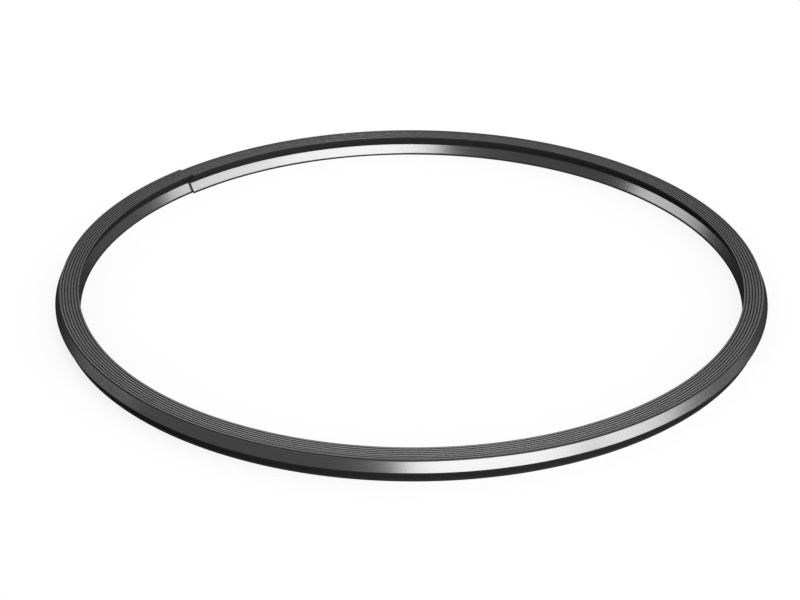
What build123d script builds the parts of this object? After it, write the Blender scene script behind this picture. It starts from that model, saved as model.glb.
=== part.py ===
from build123d import *
from math import radians, sin
import os

# Spiral wound gasket: one metal strip and one softer filler strip, both rolled to the same
# V section and wound together, flat, from the bore outwards. There is no inner or outer ring.
# The axis of the gasket is Z, and the lower sealing face lies in the XY plane.
# Millimetres and degrees.

# Driving dimensions
gasket_height = 4.5  # between the two sealing faces
bore_radius = 65.8  # from the axis to the rim of the first turn, at the inner cut end
metal_turns = 7  # turns of the metal strip
metal_thickness = 0.34  # of the metal strip, measured along a radius
filler_thickness = 0.22  # of the filler strip, measured along a radius
seat_clearance = 0.01  # between the filler and the metal on each side of it
rim_height = 0.40  # upright rim along each edge of both strips
crest_depth = 1.0  # how far the crest of the V stands out beyond the rims
filler_recess = 0.20  # from each sealing face to the edge of the filler
cut_azimuth = 135.0  # where both strips are cut off, from +X towards +Y
spans_per_turn = 4  # tangent arcs that make one turn of the spiral

# Worked out from them
filler_turns = metal_turns - 1  # it lies between the turns of metal
pitch = metal_thickness + filler_thickness + 2 * seat_clearance
filler_seat = metal_thickness + seat_clearance  # from the bore side of a metal turn to the filler
span_angle = 360.0 / spans_per_turn
span_growth = pitch / spans_per_turn
centre_circle = span_growth / (2 * sin(radians(span_angle / 2)))


def direction(azimuth):
    """The level unit vector at an azimuth."""
    return Vector(1, 0, 0).rotate(Axis.Z, azimuth)


def span_centre(span):
    """The centre of a span's arcs. The centres stand evenly around the gasket's axis, each
    one square to the middle of its own span, so that every span runs on tangent to the last."""
    middle = cut_azimuth - (span + 0.5) * span_angle
    return direction(middle - 90.0) * centre_circle


def span_plane(span):
    """The upright plane where a span starts: x is the radius from the span's centre, y is up
    and z points along the strip, which runs clockwise seen from above."""
    start = direction(cut_azimuth - span * span_angle)
    return Plane(origin=span_centre(span), x_dir=start, z_dir=start.cross(Vector(0, 0, 1)))


def span_axis(span):
    """The upright axis that a span turns about."""
    return Axis(span_centre(span), (0, 0, 1))


def bore_side(span):
    """The radius of a span on the bore side of the metal strip, from the span's own centre."""
    return bore_radius + (span + 0.5) * span_growth


def v_section(radius, thickness, recess):
    """The corners of a strip's section: upright rims, and flanks that meet in a crest at half
    the height. Its bore side starts at a radius, and its edges stop short of the sealing faces
    by the recess."""
    wall = [
        (radius, recess),
        (radius, rim_height),
        (radius + crest_depth, gasket_height / 2),
        (radius, gasket_height - rim_height),
        (radius, gasket_height - recess),
    ]
    return wall + [(x + thickness, y) for x, y in reversed(wall)]


# Metal winding strip, from its inner cut end to its outer one
with BuildPart() as winding_strip:
    for span in range(metal_turns * spans_per_turn):
        with BuildSketch(span_plane(span)):
            with BuildLine():
                Polyline(*v_section(bore_side(span), metal_thickness, 0.0), close=True)
            make_face()
        revolve(axis=span_axis(span), revolution_arc=-span_angle)

# Filler strip, which fills the spaces between the turns of metal
with BuildPart() as filler_strip:
    for span in range(filler_turns * spans_per_turn):
        filler_side = bore_side(span) + filler_seat
        with BuildSketch(span_plane(span)):
            with BuildLine():
                Polyline(*v_section(filler_side, filler_thickness, filler_recess), close=True)
            make_face()
        revolve(axis=span_axis(span), revolution_arc=-span_angle)

winding_strip.part.label = "winding_strip"
filler_strip.part.label = "filler_strip"

os.makedirs("parts", exist_ok=True)
export_step(winding_strip.part, "parts/winding_strip.step")
export_step(filler_strip.part, "parts/filler_strip.step")
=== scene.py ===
"""Spiral wound gasket: the looks of its two wound strips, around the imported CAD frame.

Lengths are in metres and angles in degrees, in the frame of the CAD model: Z up, the axis of the
gasket at X = Y = 0, and its lower sealing face on the floor at Z = 0.
"""

import logging
import math
from dataclasses import dataclass
from enum import Enum
from typing import Any, Union

import bmesh
import bpy
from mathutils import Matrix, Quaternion, Vector


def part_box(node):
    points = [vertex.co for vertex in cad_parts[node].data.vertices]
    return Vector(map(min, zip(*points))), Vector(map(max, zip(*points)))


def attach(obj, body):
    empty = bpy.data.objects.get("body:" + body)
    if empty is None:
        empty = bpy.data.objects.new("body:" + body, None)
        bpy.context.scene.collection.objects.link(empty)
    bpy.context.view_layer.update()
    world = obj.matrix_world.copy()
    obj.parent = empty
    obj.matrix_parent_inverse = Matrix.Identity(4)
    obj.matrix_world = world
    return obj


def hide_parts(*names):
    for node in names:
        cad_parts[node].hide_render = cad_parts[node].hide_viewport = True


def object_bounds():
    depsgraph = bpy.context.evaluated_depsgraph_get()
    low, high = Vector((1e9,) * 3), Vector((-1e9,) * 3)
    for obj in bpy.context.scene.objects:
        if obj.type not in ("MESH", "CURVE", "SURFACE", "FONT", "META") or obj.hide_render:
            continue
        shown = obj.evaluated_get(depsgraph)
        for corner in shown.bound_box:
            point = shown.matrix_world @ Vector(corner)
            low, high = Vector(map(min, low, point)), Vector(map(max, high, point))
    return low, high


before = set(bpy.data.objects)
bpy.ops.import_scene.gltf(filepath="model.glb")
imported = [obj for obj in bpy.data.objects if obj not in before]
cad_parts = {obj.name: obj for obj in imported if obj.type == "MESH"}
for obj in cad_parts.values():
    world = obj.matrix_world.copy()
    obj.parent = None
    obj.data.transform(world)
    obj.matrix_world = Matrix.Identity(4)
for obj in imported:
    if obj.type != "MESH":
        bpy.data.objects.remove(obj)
CAD_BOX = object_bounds()

MM = 0.001
BODY = "root"
LOG = logging.getLogger("gasket")

Operand = Union["Shade", float]
Colour = tuple[float, float, float, float]


# ---------------------------------------------------------------- shader maths


class Shade:
    """A number in a shader: a socket that takes the operators of Python."""

    def __init__(self, graph: "Graph", socket: bpy.types.NodeSocket) -> None:
        """Wraps a socket.

        Args:
            graph: the graph that the socket belongs to.
            socket: an output socket that gives a number.
        """
        self.graph = graph
        self.socket = socket

    def _math(self, operation: str, first: Operand, second: Operand) -> "Shade":
        """A Math node on two values."""
        node = self.graph.node("ShaderNodeMath", {"operation": operation}, {0: first, 1: second})
        return Shade(self.graph, node.outputs[0])

    def __add__(self, other: Operand) -> "Shade":
        """This plus another."""
        return self._math("ADD", self, other)

    def __radd__(self, other: Operand) -> "Shade":
        """Another plus this."""
        return self._math("ADD", other, self)

    def __sub__(self, other: Operand) -> "Shade":
        """This minus another."""
        return self._math("SUBTRACT", self, other)

    def __rsub__(self, other: Operand) -> "Shade":
        """Another minus this."""
        return self._math("SUBTRACT", other, self)

    def __mul__(self, other: Operand) -> "Shade":
        """This times another."""
        return self._math("MULTIPLY", self, other)

    def __rmul__(self, other: Operand) -> "Shade":
        """Another times this."""
        return self._math("MULTIPLY", other, self)

    def __pow__(self, other: Operand) -> "Shade":
        """This to a power."""
        return self._math("POWER", self, other)

    def __abs__(self) -> "Shade":
        """This without its sign."""
        return self._math("ABSOLUTE", self, 0.0)

    def step(self, low: float, high: float) -> "Shade":
        """A smooth step from 0 to 1 while this goes from low to high."""
        inputs = {"Value": self, "From Min": low, "From Max": high}
        node = self.graph.node("ShaderNodeMapRange", {"interpolation_type": "SMOOTHSTEP"}, inputs)
        return Shade(self.graph, node.outputs["Result"])


class Graph:
    """The node graph of one material, world or lamp."""

    def __init__(self, owner: Union[bpy.types.Material, bpy.types.World, bpy.types.Light]) -> None:
        """Empties the owner's graph and starts on it.

        Args:
            owner: the material, world or lamp whose nodes these are.
        """
        owner.use_nodes = True
        self.tree = owner.node_tree
        self.tree.nodes.clear()

    def node(self, kind: str, settings: dict[str, Any], inputs: dict[Any, Any]) -> bpy.types.Node:
        """Adds any node.

        Args:
            kind: the node's type.
            settings: its own properties, which are set first.
            inputs: values, sockets or shades by the name or number of the input.

        Returns:
            The new node.
        """
        node = self.tree.nodes.new(kind)
        for name, value in settings.items():
            setattr(node, name, value)
        for key, value in inputs.items():
            source = value.socket if isinstance(value, Shade) else value
            if isinstance(source, bpy.types.NodeSocket):
                self.tree.links.new(source, node.inputs[key])
            else:
                node.inputs[key].default_value = source
        return node

    def mix(self, factor: Operand, first: Any, second: Any) -> bpy.types.NodeSocket:
        """A colour between two others, which is the first where the factor is 0."""
        node = self.node("ShaderNodeMix", {"data_type": "RGBA"}, {0: factor, 6: first, 7: second})
        return node.outputs[2]

    def grey(self, tone: Operand) -> bpy.types.NodeSocket:
        """A neutral colour of a tone that varies over the surface."""
        node = self.node("ShaderNodeCombineColor", {}, {0: tone, 1: tone, 2: tone})
        return node.outputs[0]

    def place(self) -> tuple[bpy.types.NodeSocket, Shade, Shade]:
        """Where a point lies on its object.

        Returns:
            The point itself, its distance from the object's Z axis, and its height.
        """
        point = self.node("ShaderNodeTexCoord", {}, {}).outputs["Object"]
        x, y, z = (
            Shade(self, part)
            for part in self.node("ShaderNodeSeparateXYZ", {}, {0: point}).outputs
        )
        return point, (x * x + y * y) ** 0.5, z

    def light_path(self) -> tuple[Shade, Shade]:
        """What kind of ray looks at a surface.

        Returns:
            1 for a camera ray, and 1 for a ray that was mirrored or came through glass.
        """
        path = self.node("ShaderNodeLightPath", {}, {}).outputs
        passed_on = Shade(self, path["Is Glossy Ray"]) + Shade(self, path["Is Transmission Ray"])
        return Shade(self, path["Is Camera Ray"]), passed_on

    def noise(self, point: Any, fourth: Operand, scale: float, detail: float) -> Shade:
        """Noise from 0 to 1, with its middle at 0.5.

        Args:
            point: the place in space.
            fourth: the fourth coordinate.
            scale: how many features there are to a unit of length.
            detail: how many finer layers it has.

        Returns:
            The noise.
        """
        inputs = {"Vector": point, "W": fourth, "Scale": scale, "Detail": detail}
        node = self.node("ShaderNodeTexNoise", {"noise_dimensions": "4D"}, inputs)
        return Shade(self, node.outputs[0])

    def drawn_lines(self, along: float, across: float, detail: float) -> Shade:
        """Noise that is drawn out into lines along the strip.

        Args:
            along: how many features there are to a metre of the strip's length.
            across: how many lines there are to a metre of its width.
            detail: how many finer layers it has.

        Returns:
            The noise, from 0 to 1 with its middle at 0.5.
        """
        point, radius, _ = self.place()
        stretch = {"Location": (0.0, 0.0, 0.0), "Scale": (along, along, across)}
        drawn = self.node("ShaderNodeMapping", {}, {"Vector": point, **stretch}).outputs[0]
        return self.noise(drawn, radius * across, 1.0, detail)

    def finish(self, shader: bpy.types.Node, kind: str = "ShaderNodeOutputMaterial") -> None:
        """Links a shader to the output."""
        self.node(kind, {}, {0: shader.outputs[0]})


def neutral(tone: float) -> Colour:
    """A neutral colour that is the same all over."""
    return (tone, tone, tone, 1.0)


# ---------------------------------------------------------------- finishes


class Surface(Enum):
    """How a face of the metal strip was made: the value of its mark."""

    ROLLED = 0.0
    SLIT = 1.0
    BURR = 2.0


SURFACE_MARK = "surface_kind"


@dataclass(frozen=True)
class RolledMetal:
    """Thin stainless strip: dark and bright-rolled, with duller edges where it was slit.

    The burr along each slit edge is rubbed bright. Fine lines run along the strip, from the
    rolls, and handling leaves faint patches in its gloss.
    """

    rolled_tone: float = 0.15
    slit_tone: float = 0.20
    burr_tone: float = 0.22
    tone_spread: float = 0.35
    rolled_roughness: float = 0.21
    slit_roughness: float = 0.26
    roughness_spread: float = 0.20
    patch_spread: float = 0.05
    metallic: float = 0.87
    grazing_tint: float = 0.36
    lines_along: float = 80.0
    lines_across: float = 16000.0
    line_detail: float = 3.0
    patches: float = 70.0
    patch_detail: float = 2.0
    line_depth: float = 0.004 * MM
    line_strength: float = 0.2

    def material(self) -> bpy.types.Material:
        """Makes the material.

        Returns:
            The finished material.
        """
        made = bpy.data.materials.new("rolled_metal")
        graph = Graph(made)
        mark = graph.node("ShaderNodeAttribute", {"attribute_name": SURFACE_MARK}, {})
        kind = Shade(graph, mark.outputs["Fac"])
        slit = kind.step(Surface.ROLLED.value, Surface.SLIT.value)
        burr = kind.step(Surface.SLIT.value, Surface.BURR.value)
        lines = graph.drawn_lines(self.lines_along, self.lines_across, self.line_detail) - 0.5
        patch = graph.noise(graph.place()[0], 0.0, self.patches, self.patch_detail) - 0.5
        tone = self.rolled_tone + (self.slit_tone - self.rolled_tone) * slit
        tone = tone + (self.burr_tone - self.slit_tone) * burr
        rough = self.rolled_roughness + (self.slit_roughness - self.rolled_roughness) * slit
        rough = rough + self.roughness_spread * lines + self.patch_spread * patch
        relief = {"Strength": self.line_strength, "Distance": self.line_depth, "Height": lines}
        shader = graph.node(
            "ShaderNodeBsdfPrincipled",
            {},
            {
                "Base Color": graph.grey(tone * (1.0 + self.tone_spread * lines)),
                "Metallic": self.metallic,
                "Specular Tint": neutral(self.grazing_tint),
                "Roughness": rough,
                "Normal": graph.node("ShaderNodeBump", {}, relief).outputs[0],
            },
        )
        graph.finish(shader)
        return made


@dataclass(frozen=True)
class FlexibleGraphite:
    """Soft graphite foil, seen on its cut edge: matte, crumbly and unevenly pressed. Its dark tone is
    partly the foil's own and partly painted shade of its deep groove.
    """

    # darker than bare graphite: the foil's own dark grey plus painted shade of the groove it sits in
    tone: float = 0.02
    crumb_spread: float = 0.6
    patch_spread: float = 0.8
    roughness: float = 0.7
    gloss: float = 0.2
    crumbs: float = 9000.0
    crumb_detail: float = 4.0
    patches: float = 160.0
    patch_detail: float = 1.0
    crumb_depth: float = 0.03 * MM
    crumb_strength: float = 0.6

    def material(self) -> bpy.types.Material:
        """Makes the material.

        Returns:
            The finished material.
        """
        made = bpy.data.materials.new("flexible_graphite")
        graph = Graph(made)
        point = graph.place()[0]
        crumb = graph.noise(point, 0.0, self.crumbs, self.crumb_detail) - 0.5
        patch = graph.noise(point, 1.0, self.patches, self.patch_detail) - 0.5
        tone = self.tone * (1.0 + self.crumb_spread * crumb) * (1.0 + self.patch_spread * patch)
        relief = {"Strength": self.crumb_strength, "Distance": self.crumb_depth, "Height": crumb}
        shader = graph.node(
            "ShaderNodeBsdfPrincipled",
            {},
            {
                "Base Color": graph.grey(tone),
                "Specular IOR Level": self.gloss,
                "Roughness": self.roughness,
                "Normal": graph.node("ShaderNodeBump", {}, relief).outputs[0],
            },
        )
        graph.finish(shader)
        return made


@dataclass(frozen=True)
class PaleCard:
    """The card of the floor, lit by the room alone: white to the camera but for soft shadows.

    Metal mirrors the bare, dark card close to the ring and white card further from it: a painted shade
    around the ring, seen only in reflections.
    """

    # the dark card tone that metal mirrors near the ring: painted shade, darker than the white card the
    # camera sees
    tone: float = 0.25
    shadow_depth: float = 0.25
    ring_radius: float = 68.0 * MM
    painted_shade_reach: float = 100.0 * MM

    def material(self, room_tone: float) -> bpy.types.Material:
        """Makes the material.

        Args:
            room_tone: how bright the room is that lights the card.

        Returns:
            The finished material.
        """
        made = bpy.data.materials.new("pale_card")
        graph = Graph(made)
        seen, passed_on = graph.light_path()
        # painted shade: mirrored rays see the dark card near the ring, grading to white further from it
        far = abs(graph.place()[1] - self.ring_radius).step(0.0, self.painted_shade_reach)
        colour = graph.mix(seen, neutral(self.tone), neutral(1.0 / room_tone))
        card = graph.node("ShaderNodeBsdfDiffuse", {}, {"Color": colour})
        white = graph.node("ShaderNodeEmission", {}, {"Color": neutral(1.0), "Strength": 1.0})
        share = seen * (1.0 - self.shadow_depth) + passed_on * far
        mixed = {0: share, 1: card.outputs[0], 2: white.outputs[0]}
        graph.finish(graph.node("ShaderNodeMixShader", {}, mixed))
        return made


# ---------------------------------------------------------------- the gasket


@dataclass(frozen=True)
class Spiral:
    """A flat spiral of tangent arcs, which runs clockwise seen from above and grows outwards."""

    bore_radius: float
    pitch: float
    cut_azimuth: float = 135.0
    spans_per_turn: int = 4

    @property
    def span_angle(self) -> float:
        """The angle of one arc."""
        return 360.0 / self.spans_per_turn

    @property
    def span_growth(self) -> float:
        """How much larger each arc's radius is than the last one's."""
        return self.pitch / self.spans_per_turn

    @property
    def centre_circle(self) -> float:
        """The radius of the small circle around the gasket's axis where the arcs' centres lie."""
        return self.span_growth / (2 * math.sin(math.radians(self.span_angle / 2)))

    def direction(self, azimuth: float) -> Vector:
        """The level unit vector at an azimuth."""
        turned = math.radians(azimuth)
        return Vector((math.cos(turned), math.sin(turned), 0.0))

    def centre(self, span: int) -> Vector:
        """The centre of one arc, square to the arc's middle."""
        middle = self.cut_azimuth - (span + 0.5) * self.span_angle
        return self.direction(middle - 90.0) * self.centre_circle

    def start(self, span: int, offset: float) -> tuple[Vector, Vector]:
        """Where one arc starts.

        Args:
            span: the number of the arc, from 0 at the inner cut end.
            offset: how far outside the bore side of the metal strip.

        Returns:
            The point, and the level direction away from the arc's centre.
        """
        outward = self.direction(self.cut_azimuth - span * self.span_angle)
        radius = self.bore_radius + (span + 0.5) * self.span_growth + offset
        return self.centre(span) + outward * radius, outward


@dataclass(frozen=True)
class StripSection:
    """The section of a strip: upright rims, and flanks that meet in a crest at half the height."""

    thickness: float
    height: float
    recess: float
    rim: float
    crest: float
    edge_round: float
    bend_round: float
    edge_segments: int = 2
    bend_segments: int = 3

    def depth(self, level: float) -> float:
        """How far a level lies inside the strip's nearer slit edge."""
        return min(level - self.recess, self.height - self.recess - level)

    def corners(self) -> list[tuple[float, float]]:
        """The sharp corners.

        Returns:
            Each corner's distance outwards and its height, in order round the section.
        """
        wall = [
            (0.0, self.recess),
            (0.0, self.rim),
            (self.crest, self.height / 2),
            (0.0, self.height - self.rim),
            (0.0, self.height - self.recess),
        ]
        return wall + [(x + self.thickness, z) for x, z in reversed(wall)]

    def draw(self, mesh: bmesh.types.BMesh, foot: Vector, outward: Vector) -> list[Any]:
        """Draws the rounded outline as a closed loop of edges.

        Args:
            mesh: the mesh to draw in.
            foot: the foot of the section's bore side, at the height of the lower face.
            outward: the level direction away from the gasket's axis.

        Returns:
            The vertices and edges of the loop.
        """
        points = [foot + outward * x + Vector((0, 0, z)) for x, z in self.corners()]
        face = mesh.faces.new([mesh.verts.new(point) for point in points])
        slit = [v for v in face.verts if self.depth(v.co.z) < (self.rim - self.recess) / 2]
        bends = [v for v in face.verts if v not in slit]
        rounds = (
            (bends, self.bend_round, self.bend_segments),
            (slit, self.edge_round, self.edge_segments),
        )
        for corners, size, segments in rounds:
            bmesh.ops.bevel(
                mesh,
                geom=corners,
                offset=size,
                offset_type="OFFSET",
                affect="VERTICES",
                segments=segments,
                profile=0.5,
                material=-1,
                clamp_overlap=True,
            )
        bmesh.ops.delete(mesh, geom=mesh.faces[:], context="FACES_ONLY")
        return mesh.verts[:] + mesh.edges[:]


@dataclass(frozen=True)
class WoundStrip:
    """One strip, wound from its inner cut end to its outer one."""

    name: str
    node: str
    slot: str
    spiral: Spiral
    section: StripSection
    offset: float
    turns: int
    steps_per_span: int
    weld_distance: float = 0.001 * MM
    level_face: float = 0.99

    def build(self, finish: Union[RolledMetal, FlexibleGraphite]) -> bpy.types.Object:
        """Builds and dresses the strip.

        Args:
            finish: what the strip is made of.

        Returns:
            The finished piece.
        """
        mesh = self.wind()
        self.close_ends(mesh)
        bmesh.ops.recalc_face_normals(mesh, faces=mesh.faces[:])
        data = bpy.data.meshes.new(self.name)
        mesh.to_mesh(data)
        mesh.free()
        self.mark_surfaces(data)
        data.materials.append(finish.material())
        piece = bpy.data.objects.new(self.name, data)
        bpy.context.scene.collection.objects.link(piece)
        flat_flanks = piece.modifiers.new("flat_flanks", "WEIGHTED_NORMAL")
        flat_flanks.keep_sharp = True
        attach(piece, BODY)
        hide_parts(self.node)
        return piece

    def wind(self) -> bmesh.types.BMesh:
        """Winds the strip, one arc after another.

        Returns:
            The strip's skin, open at both cut ends.
        """
        whole = bmesh.new()
        for span in range(self.turns * self.spiral.spans_per_turn):
            arc = bmesh.new()
            section = self.section.draw(arc, *self.spiral.start(span, self.offset))
            bmesh.ops.spin(
                arc,
                geom=section,
                cent=self.spiral.centre(span),
                axis=(0.0, 0.0, 1.0),
                angle=-math.radians(self.spiral.span_angle),
                steps=self.steps_per_span,
                use_merge=False,
                use_duplicate=False,
            )
            part = bpy.data.meshes.new("arc")
            arc.to_mesh(part)
            arc.free()
            whole.from_mesh(part)
            bpy.data.meshes.remove(part)
        bmesh.ops.remove_doubles(whole, verts=whole.verts[:], dist=self.weld_distance)
        for face in whole.faces:
            face.smooth = True
        return whole

    def close_ends(self, mesh: bmesh.types.BMesh) -> None:
        """Closes the two cut ends with flat faces that meet the strip's skin in a sharp edge.

        Args:
            mesh: the strip's skin.
        """
        rims = [edge for edge in mesh.edges if edge.is_boundary]
        bmesh.ops.holes_fill(mesh, edges=rims, sides=0)
        for edge in rims:
            edge.smooth = False

    def mark_surfaces(self, data: bpy.types.Mesh) -> None:
        """Marks each face with how it was made.

        Args:
            data: the strip's mesh.
        """
        marks = data.attributes.new(SURFACE_MARK, "FLOAT", "FACE").data
        for face in data.polygons:
            kind = Surface.ROLLED
            if self.section.depth(face.center.z) < self.section.edge_round:
                level = abs(face.normal.z) > self.level_face
                kind = Surface.SLIT if level else Surface.BURR
            marks[face.index].value = kind.value


@dataclass(frozen=True)
class Gasket:
    """The gasket: a metal strip and a soft filler strip, wound together from the bore outwards."""

    height: float
    bore_radius: float = 65.8 * MM
    metal_turns: int = 7
    metal_thickness: float = 0.34 * MM
    filler_thickness: float = 0.22 * MM
    seat_clearance: float = 0.01 * MM
    rim_height: float = 0.40 * MM
    crest_depth: float = 1.0 * MM
    filler_recess: float = 0.20 * MM
    metal_rounds: tuple[float, float] = (0.005 * MM, 0.12 * MM)
    filler_rounds: tuple[float, float] = (0.02 * MM, 0.08 * MM)
    metal_steps: int = 72
    filler_steps: int = 48

    @property
    def spiral(self) -> Spiral:
        """The spiral that both strips follow."""
        pitch = self.metal_thickness + self.filler_thickness + 2 * self.seat_clearance
        return Spiral(self.bore_radius, pitch)

    def section(self, thickness: float, recess: float, rounds: tuple[float, float]) -> StripSection:
        """The section of one of the strips.

        Args:
            thickness: of the strip, along a radius.
            recess: from each sealing face to the strip's slit edge.
            rounds: how far the slit corners and the bends are rounded off.

        Returns:
            The section.
        """
        return StripSection(
            thickness, self.height, recess, self.rim_height, self.crest_depth, *rounds
        )

    def metal(self) -> WoundStrip:
        """The metal strip.

        Returns:
            The strip, which has turns of metal on both sides of every turn of the filler.
        """
        return WoundStrip(
            name="metal_winding",
            node="winding_strip",
            slot="winding_metal",
            spiral=self.spiral,
            section=self.section(self.metal_thickness, 0.0, self.metal_rounds),
            offset=0.0,
            turns=self.metal_turns,
            steps_per_span=self.metal_steps,
        )

    def filler(self) -> WoundStrip:
        """The filler strip.

        Returns:
            The strip, which lies between the turns of metal.
        """
        return WoundStrip(
            name="graphite_filler",
            node="filler_strip",
            slot="filler_graphite",
            spiral=self.spiral,
            section=self.section(self.filler_thickness, self.filler_recess, self.filler_rounds),
            offset=self.metal_thickness + self.seat_clearance,
            turns=self.metal_turns - 1,
            steps_per_span=self.filler_steps,
        )

    def build(self) -> bpy.types.Collection:
        """Builds both strips.

        Returns:
            The collection that holds them, for lamps that light nothing else.
        """
        pieces = bpy.data.collections.new("gasket")
        for strip, finish in ((self.metal(), RolledMetal()), (self.filler(), FlexibleGraphite())):
            piece = strip.build(finish)
            pieces.objects.link(piece)
            LOG.info("%s: %d turns, %d faces", piece.name, strip.turns, len(piece.data.polygons))
        return pieces


# ---------------------------------------------------------------- the studio


def sight(azimuth: float, elevation: float) -> Vector:
    """The unit vector towards a viewer: azimuth 0 is on the side of -Y, and 90 on that of +X."""
    a, e = math.radians(azimuth), math.radians(elevation)
    return Vector((math.sin(a) * math.cos(e), -math.cos(a) * math.cos(e), math.sin(e)))


@dataclass(frozen=True)
class Softbox:
    """A rectangular studio lamp that looks at the gasket, with a flag that shades the floor.

    It may be turned in its own plane. A fade above 0 dims it towards its higher azimuths, and
    one below 0 towards its lower ones.
    """

    name: str
    azimuth: float
    elevation: float
    width: float
    height: float
    radiance: float
    turn: float = 0.0
    fade: float = 0.0
    distance: float = 0.9

    def build(self, target: Vector, pieces: bpy.types.Collection) -> None:
        """Makes the lamp.

        Args:
            target: the point that it looks at.
            pieces: what it lights.
        """
        data = bpy.data.lights.new(self.name, "AREA")
        data.shape = "RECTANGLE"
        data.size, data.size_y = self.width, self.height
        data.energy = self.radiance * math.pi * self.width * self.height
        graph = Graph(data)
        across = graph.node("ShaderNodeNewGeometry", {}, {}).outputs["Parametric"]
        share = Shade(graph, graph.node("ShaderNodeSeparateXYZ", {}, {0: across}).outputs[0])
        strength = 1.0 + self.fade * (0.5 - share)
        glow = graph.node("ShaderNodeEmission", {}, {"Color": neutral(1.0), "Strength": strength})
        graph.finish(glow, "ShaderNodeOutputLight")
        lamp = bpy.data.objects.new(self.name, data)
        bpy.context.scene.collection.objects.link(lamp)
        back = sight(self.azimuth, self.elevation)
        lamp.location = target + back * self.distance
        turned = Quaternion((0.0, 0.0, 1.0), math.radians(self.turn))
        lamp.rotation_euler = ((-back).to_track_quat("-Z", "Y") @ turned).to_euler()
        lamp.visible_camera = False
        lamp.light_linking.receiver_collection = pieces
        LOG.info("%s: %.0f degrees round, %.0f up", self.name, self.azimuth, self.elevation)


@dataclass(frozen=True)
class Viewpoint:
    """The camera: where it stands, and how far the gasket's middle is from its aim."""

    azimuth: float = -2.0
    elevation: float = 28.44
    distance: float = 392.0 * MM
    lens: float = 89.25
    aim_right: float = -2.39 * MM
    aim_near: float = 8.89 * MM
    nearest: float = 0.01
    furthest: float = 20.0

    def build(self, target: Vector) -> None:
        """Makes the camera.

        Args:
            target: the middle of the gasket.
        """
        data = bpy.data.cameras.new("camera")
        data.lens = self.lens
        data.clip_start, data.clip_end = self.nearest, self.furthest
        camera = bpy.data.objects.new("camera", data)
        bpy.context.scene.collection.objects.link(camera)
        right, near = sight(self.azimuth + 90.0, 0.0), sight(self.azimuth, 0.0)
        back = sight(self.azimuth, self.elevation)
        aim = target + right * self.aim_right + near * self.aim_near
        camera.location = aim + back * self.distance
        camera.rotation_euler = (-back).to_track_quat("-Z", "Y").to_euler()
        bpy.context.scene.camera = camera


@dataclass(frozen=True)
class Studio:
    """The room, the floor, the lamps and the camera."""

    centre: Vector
    room_tone: float = 0.195
    horizon_tone: float = 0.28
    horizon_height: float = 22.0
    backdrop_foot: float = 24.0
    backdrop_full: float = 38.0
    backdrop_edge: float = 0.3
    backdrop_middle: float = 0.8
    floor_radius: float = 3.0
    floor_segments: int = 96
    floor_gap: float = 0.02 * MM
    card: PaleCard = PaleCard()
    viewpoint: Viewpoint = Viewpoint()
    lamps: tuple[Softbox, ...] = (
        Softbox("key_softbox", 20.7, 28.8, 0.785, 0.74, 6.65, turn=25.0, fade=0.06),
        Softbox("side_softbox", 73.2, 23.0, 0.715, 0.48, 4.95, turn=4.5, fade=0.32),
        Softbox("rear_softbox", -109.6, 17.5, 0.575, 0.28, 3.35, fade=-0.4),
        Softbox("top_softbox", 180.0, 62.0, 1.0, 0.5, 1.7),
    )

    def build(self, pieces: bpy.types.Collection) -> None:
        """Builds all of it.

        Args:
            pieces: what the lamps light.
        """
        self.room()
        self.floor()
        for lamp in self.lamps:
            lamp.build(self.centre, pieces)
        self.viewpoint.build(self.centre)

    def room(self) -> None:
        """A grey room, paler towards the floor, with a white backdrop behind the gasket.

        The camera sees white all round.
        """
        world = bpy.data.worlds.new("room")
        bpy.context.scene.world = world
        graph = Graph(world)
        seen, passed_on = graph.light_path()
        aim = graph.node("ShaderNodeTexCoord", {}, {}).outputs["Generated"]
        _, behind, above = (
            Shade(graph, part)
            for part in graph.node("ShaderNodeSeparateXYZ", {}, {0: aim}).outputs
        )
        levels = (self.horizon_height, self.backdrop_foot, self.backdrop_full)
        horizon, foot, full = (math.sin(math.radians(level)) for level in levels)
        across = behind.step(self.backdrop_edge, self.backdrop_middle)
        backdrop = across * above.step(foot, full)
        walls = graph.mix(above.step(0.0, horizon), neutral(self.horizon_tone), neutral(self.room_tone))
        colour = graph.mix(seen + passed_on * backdrop, walls, neutral(1.0))
        light = graph.node("ShaderNodeBackground", {}, {"Color": colour, "Strength": 1.0})
        graph.finish(light, "ShaderNodeOutputWorld")

    def floor(self) -> None:
        """A round, plain, pale floor just under the gasket."""
        level = CAD_BOX[0].z - self.floor_gap
        mesh = bmesh.new()
        bmesh.ops.create_circle(
            mesh, cap_ends=True, segments=self.floor_segments, radius=self.floor_radius
        )
        bmesh.ops.translate(mesh, verts=mesh.verts[:], vec=(0.0, 0.0, level))
        data = bpy.data.meshes.new("floor")
        mesh.to_mesh(data)
        mesh.free()
        data.materials.append(self.card.material(self.room_tone))
        floor = bpy.data.objects.new("floor", data)
        bpy.context.scene.collection.objects.link(floor)


def main() -> None:
    """Builds the gasket and its studio, and logs the strips' faces and the lamps' directions."""
    logging.basicConfig(level=logging.INFO, format="%(name)s: %(message)s")
    low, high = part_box("winding_strip")
    gasket = Gasket(height=high.z - low.z)
    studio = Studio(centre=Vector((0.0, 0.0, gasket.height / 2)))
    studio.build(gasket.build())
    bpy.context.scene.view_settings.view_transform = "Standard"


if __name__ == "__main__":
    main()
